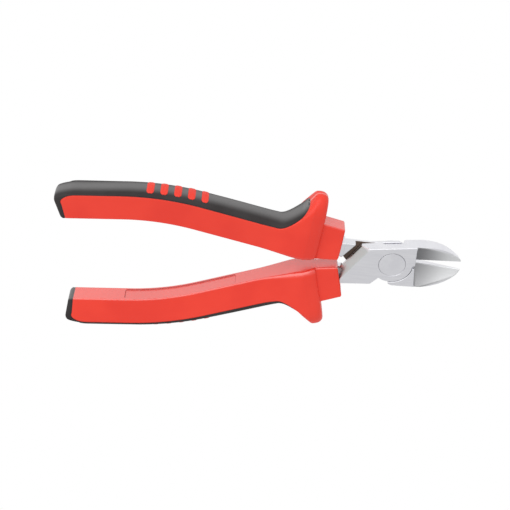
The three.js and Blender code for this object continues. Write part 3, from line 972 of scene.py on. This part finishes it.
def srgb(r, g, b):
    """Linear colour of a screen colour from 0 to 255."""
    levels = np.array((r, g, b)) / 255
    return (*np.where(levels < 0.04045, levels / 12.92, ((levels + 0.055) / 1.055) ** 2.4), 1)


def satin_steel(start):
    """Satin ground steel: fine lines, painted shade on the hollow-ground bevel that is darkest at its root
    and fades toward the tip, a pale strip, a black lap floor.
    """
    grain = start.noise(90, 4, (1, 14, 1))
    cloud = start.noise(160, 2)
    bevel, root, strip, pocket = (start.mark(name) for name in ("bevel", "root", "strip", "pocket"))
    face = grain.ease(0.3, 0.7).blend(srgb(229, 229, 234), srgb(235, 235, 239))
    # Painted shade on the bevel: darkest at its root, fading to the face's colour toward the tip.
    ground = root.ease(0.0, BEVEL_SHADE_FADE).blend(srgb(160, 160, 162), srgb(232, 233, 234))
    colour = bevel.blend(face, ground)
    colour = strip.blend(colour, srgb(213, 217, 216))
    oxide = cloud.ease(0.3, 0.7).blend(srgb(84, 68, 58), srgb(108, 90, 78))
    colour = pocket.blend(colour, oxide)
    rough = 0.3 + grain * 0.12 + pocket * 0.25
    return {"Base Color": colour, "Metallic": 1.0 - pocket * 0.6, "Roughness": rough,
            "Normal": start.bump(grain, 0.05, 0.0001)}


def rivet_steel(start):
    """Flush rivet: the halves' steel with a finer, even grain."""
    grain = start.noise(220, 3)
    colour = grain.ease(0.3, 0.7).blend(srgb(229, 229, 234), srgb(236, 236, 240))
    return {"Base Color": colour, "Metallic": 1.0, "Roughness": 0.3 + grain * 0.1}


def red_plastic(start):
    """Bright red moulded plastic: satin front faces, more polish on the inner faces and tops, and a dark
    red line of painted shade along the panel's wall.
    """
    fine = start.noise(2600, 2)
    broad = start.noise(60, 2)
    colour = broad.ease(0.3, 0.7).blend(srgb(236, 58, 42), srgb(243, 64, 46))
    # Painted shade: dark red along the wall of the panel sunk into the inner face.
    colour = start.mark("line").blend(colour, srgb(150, 26, 20))
    return {"Base Color": colour, "Roughness": 0.4 + broad * 0.08, "Specular IOR Level": 0.1,
            "Coat Weight": 0.12 + start.mark("gloss") * 0.88, "Coat Roughness": 0.24, "Coat IOR": 2.5,
            "Normal": start.bump(fine, 0.08, 0.0001)}


def dark_soft(start):
    """Dark soft overmould: matt, fine grained, with a sheen along the top of the back."""
    fine = start.noise(3200, 3)
    broad = start.noise(90, 3)
    colour = broad.ease(0.3, 0.7).blend(srgb(52, 49, 49), srgb(60, 57, 57))
    return {"Base Color": colour, "Roughness": 0.55 + fine * 0.15, "Specular IOR Level": 0.12,
            "Coat Weight": 0.02 + start.mark("gloss") * 0.98, "Coat Roughness": 0.35, "Coat IOR": 2.0,
            "Normal": start.bump(fine, 0.18, 0.00012)}


# Studio, in metres and watts
FLOOR_HALF = 3.0
FLOOR_GREY = 0.8
SKY_LEVEL = 0.72
KEY_PLACE = Vector((-0.35, 0.8, 0.5))
KEY_SIZE = 1.7
KEY_POWER = 9.0
WHITE = (1, 1, 1, 1)


def studio():
    """White floor and backdrop, a wide key light from beyond the upper handle and an even fill."""
    corners = [(-FLOOR_HALF, -FLOOR_HALF, 0), (FLOOR_HALF, -FLOOR_HALF, 0),
               (FLOOR_HALF, FLOOR_HALF, 0), (-FLOOR_HALF, FLOOR_HALF, 0)]
    mesh = bpy.data.meshes.new("floor")
    mesh.from_pydata(corners, [], [(0, 1, 2, 3)])
    floor = bpy.data.objects.new("floor", mesh)
    bpy.context.scene.collection.objects.link(floor)
    paper = bpy.data.materials.new("white_paper")
    paper.use_nodes = True
    mesh.materials.append(paper)
    tree = paper.node_tree
    tree.nodes.clear()
    start = Wire(tree)
    seen = plain_sight(start)
    glow = start.add("ShaderNodeEmission", sockets={"Color": WHITE, "Strength": 1.0})
    matt = start.add("ShaderNodeBsdfDiffuse", sockets={"Color": (FLOOR_GREY, FLOOR_GREY, FLOOR_GREY, 1)})
    both = start.add("ShaderNodeMixShader", sockets={0: seen, 1: matt, 2: glow})
    start.add("ShaderNodeOutputMaterial", sockets={"Surface": both})

    world = bpy.data.worlds.new("studio")
    bpy.context.scene.world = world
    world.use_nodes = True
    world.node_tree.nodes.clear()
    sky = Wire(world.node_tree)
    glow = sky.add("ShaderNodeBackground", sockets={"Color": WHITE, "Strength": SKY_LEVEL})
    sky.add("ShaderNodeOutputWorld", sockets={"Surface": glow})

    lamp = bpy.data.lights.new("key", "AREA")
    lamp.size, lamp.energy = KEY_SIZE, KEY_POWER
    key = bpy.data.objects.new("key", lamp)
    key.location = KEY_PLACE
    key.rotation_euler = (-KEY_PLACE).to_track_quat("-Z", "Y").to_euler()
    bpy.context.scene.collection.objects.link(key)


def plain_sight(start):
    """1 for rays from the camera and rays that mirror or pass, 0 for rays that only light."""
    rays = start.add("ShaderNodeLightPath")
    outputs = rays.socket.node.outputs
    kinds = ("Is Camera Ray", "Is Glossy Ray", "Is Transmission Ray")
    camera_ray, glossy, passing = (Wire(start.tree, outputs[key]) for key in kinds)
    return start.math("MAXIMUM", start.math("MAXIMUM", camera_ray, glossy), passing)


# Camera, from the outline of the photographed pose, in millimetres, degrees and pixels
VIEW_TILT, VIEW_PAN, VIEW_ROLL = math.radians(34.898), math.radians(0.425), math.radians(1.212)
VIEW_TARGET = PIVOT - (54, 0, 0)
VIEW_DISTANCE = 483.177
VIEW_FOCUS = 1223.68
IMAGE_SIDE = 510
VIEW_OFFSET = np.array((-0.717, 0.079))
SENSOR = 36.0


def camera():
    """Camera on the tilted axis through the target, moved sideways so that the target falls at its
    place in the frame."""
    out = np.array((math.sin(VIEW_PAN), math.cos(VIEW_PAN) * math.sin(VIEW_TILT),
                    math.cos(VIEW_PAN) * math.cos(VIEW_TILT)))
    right = np.array((1, 0, 0)) - out[0] * out
    right /= np.linalg.norm(right)
    up = np.cross(out, right)
    c, s = math.cos(VIEW_ROLL), math.sin(VIEW_ROLL)
    right, up = c * right + s * up, c * up - s * right
    shift = VIEW_OFFSET * VIEW_DISTANCE / VIEW_FOCUS
    place = VIEW_TARGET + out * VIEW_DISTANCE - right * shift[0] + up * shift[1]
    data = bpy.data.cameras.new("camera")
    data.sensor_width = SENSOR
    data.lens = VIEW_FOCUS * SENSOR / IMAGE_SIDE
    data.clip_start, data.clip_end = 0.01, 20
    made = bpy.data.objects.new("camera", data)
    matrix = np.eye(4)
    matrix[:3, :3] = np.stack((right, up, out), -1)
    matrix[:3, 3] = place * MM
    made.matrix_world = Matrix(matrix.tolist())
    bpy.context.scene.collection.objects.link(made)
    bpy.context.scene.camera = made


bpy.context.scene.view_settings.view_transform = "Standard"
camera()
studio()
STEEL = finish_of("satin_steel", satin_steel)
RIVET = finish_of("turned_rivet", rivet_steel)
RED = finish_of("red_plastic", red_plastic)
DARK = finish_of("dark_soft", dark_soft)

steel_half("front_half", 1, "front", STEEL)
steel_half("back_half", -1, "back", STEEL)
rivet_points, rivet_faces = rivet()
piece("pivot_rivet_turned", (rivet_points + PIVOT) * MM, rivet_faces, "front", RIVET,
      ["pivot_rivet"])
hard_points, hard_faces, hard_marks = hard_body()
soft_points, soft_faces, soft_gloss = soft_cover()
bar_points, bar_faces = bars()
for grip, side, body in (("lower_grip", 1, "front"), ("upper_grip", -1, "back")):
    turned = side > 0
    piece(grip + "_hard", to_row(hard_points, side, turned), hard_faces, body, RED,
          [grip + "_body"], hard_marks)
    cover = piece(grip + "_cover", to_row(soft_points, side, turned), soft_faces, body,
                  DARK, [grip + "_soft"], {"gloss": soft_gloss})
    inlay = piece(grip + "_bars", to_row(bar_points, side, turned), bar_faces, body, RED)
    for shell, thick in ((cover, SOFT_THICK), (inlay, 2 * BAR_HEIGHT)):
        wall = shell.modifiers.new("wall", "SOLIDIFY")
        wall.thickness, wall.offset = thick * MM, -1
